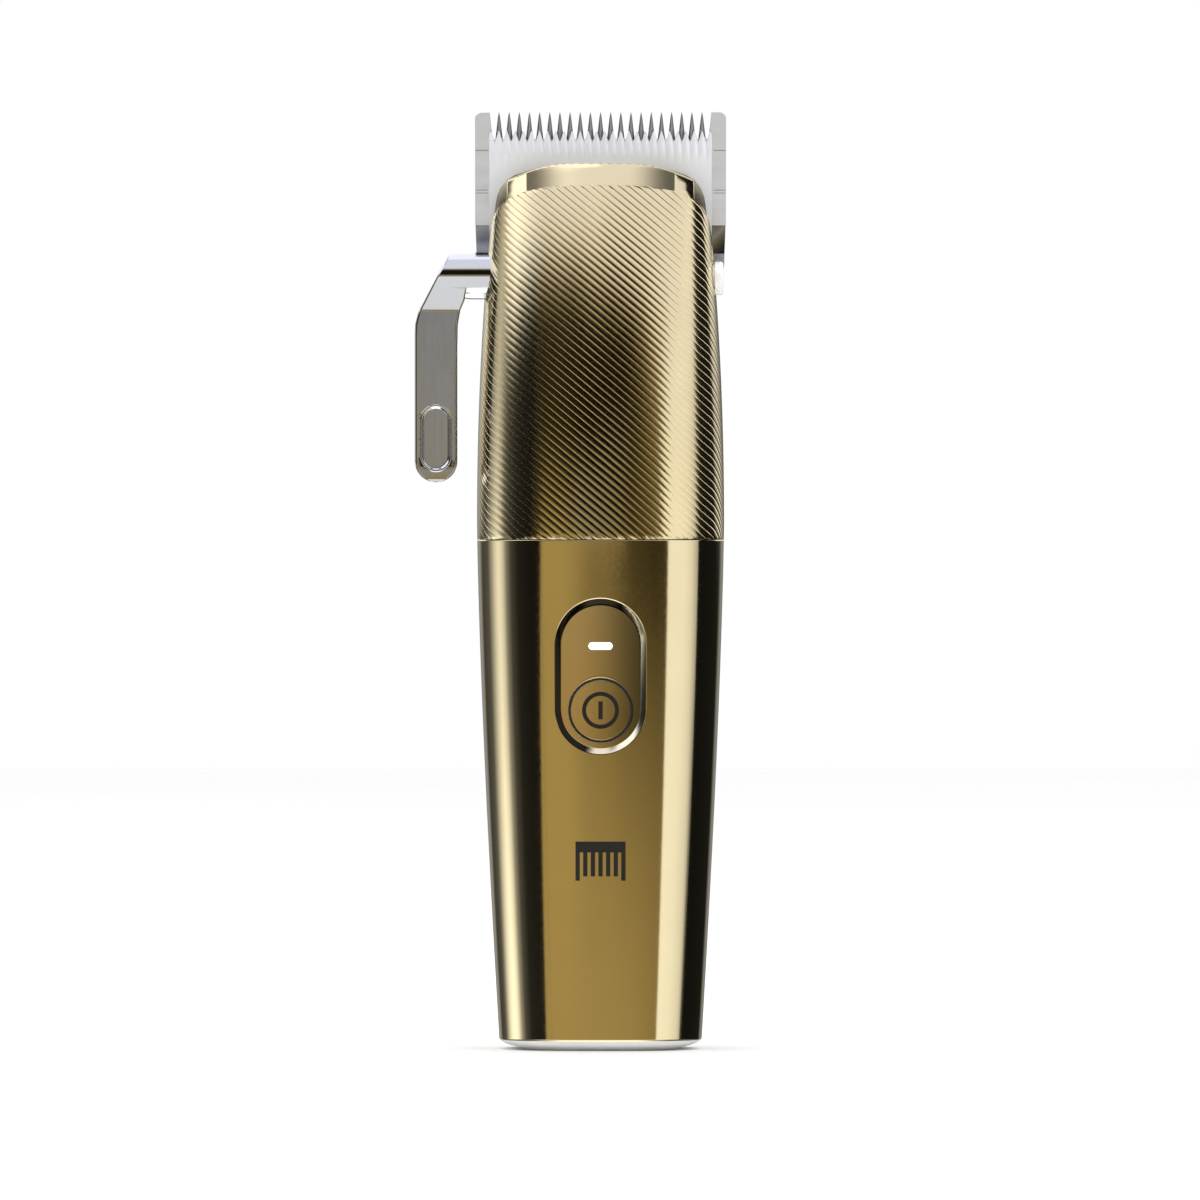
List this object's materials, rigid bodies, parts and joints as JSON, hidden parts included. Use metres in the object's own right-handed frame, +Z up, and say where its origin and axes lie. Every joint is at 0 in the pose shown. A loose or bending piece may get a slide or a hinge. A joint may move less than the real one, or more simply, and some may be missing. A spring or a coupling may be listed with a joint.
{
  "type": "hair clipper",
  "caption": "Cordless hair clipper with a toothed blade pair, a swinging taper lever, a ribbed metal sleeve and a recessed push-button panel.",
  "frame": {"origin": "centre of the flat face under the base, on the body's axis", "axes": "+Z up to the blades, -Y out of the power button side, -X out of the taper lever side"},
  "size_m": [0.0576, 0.04, 0.1734],
  "materials": {
    "gold_shell": "polished gold plate",
    "gold_knurl": "polished gold plate over diagonal ridges",
    "gold_trim": "polished gold plate",
    "gold_panel": "satin gold plate",
    "pale_plastic": "satin",
    "black_plastic": "moulded",
    "dark_steel": "machined",
    "led_window": "clear light pipe, lit white",
    "led_chip": "gloss",
    "board_green": "solder mask",
    "battery_wrap": "shrink wrap",
    "nickel": "nickel strip",
    "socket_steel": "stamped",
    "motor_steel": "drawn can",
    "ferrite": "sintered",
    "copper_winding": "enamelled wire",
    "bronze": "sintered bush",
    "black_rubber": "matt",
    "lead_red": "silicone insulation",
    "cutter_white": "bright polished steel",
    "spring_steel": "blued strip",
    "blade_steel": "ground and polished",
    "carrier_chrome": "plated",
    "lever_chrome": "satin chrome",
    "cap_silver": "satin chrome"
  },
  "bodies": {
    "housing": {"lower_housing": "gold_shell", "knurled_sleeve": "gold_knurl", "nose_bezel": "gold_trim", "bottom_cap": "pale_plastic", "cap_screws": "dark_steel", "control_panel": "gold_panel", "light_pipe": "led_window", "power_switch": "black_plastic", "status_led": "led_chip", "circuit_board": "board_green", "battery_cell": "battery_wrap", "battery_holder": "black_plastic", "battery_tabs": "nickel", "charge_port": "socket_steel", "inner_chassis": "black_plastic", "motor_can": "motor_steel", "motor_end_cap": "pale_plastic", "motor_magnets": "ferrite", "motor_bearing": "bronze", "motor_isolator": "black_rubber", "motor_screws": "dark_steel", "motor_leads": "lead_red", "cutter_spring": "spring_steel", "lever_bush": "pale_plastic", "pivot_screw": "dark_steel", "pivot_cap": "cap_silver"},
    "button": {"power_button": "gold_trim", "switch_plunger": "black_plastic"},
    "rotor": {"motor_rotor": "copper_winding", "drive_eccentric": "dark_steel"},
    "cutter": {"cutter_blade": "cutter_white", "cutter_yoke": "pale_plastic"},
    "comb": {"comb_blade": "blade_steel", "blade_carrier": "carrier_chrome", "blade_screws": "dark_steel"},
    "lever": {"taper_lever": "lever_chrome", "lever_shaft": "dark_steel"}
  },
  "joints": [
    {"name": "power_button", "type": "slide", "parent": "housing", "child": "button", "axis": [0, 1, 0], "range_m": [0, 0.0005], "stiffness_N_per_m": 1500, "springref_m": -0.0005},
    {"name": "motor_spin", "type": "hinge", "parent": "housing", "child": "rotor", "pos_m": [0, -0.002, 0.12], "axis": [0, 0, 1], "continuous": true},
    {"name": "cutter_slide", "type": "slide", "parent": "housing", "child": "cutter", "axis": [1, 0, 0], "range_m": [-0.001, 0.001]},
    {"name": "taper_lever", "type": "hinge", "parent": "housing", "child": "lever", "pos_m": [-0.022, -0.0025, 0.1427], "axis": [-1, 0, 0], "range_deg": [0, 50]},
    {"name": "comb_slide", "type": "slide", "parent": "housing", "child": "comb", "axis": [0, 0.2079, -0.9781], "range_m": [0, 0.00152]}
  ],
  "couplings": [
    {"joint": "taper_lever", "follows": "comb_slide", "rad_per_m": 573.58}
  ]
}
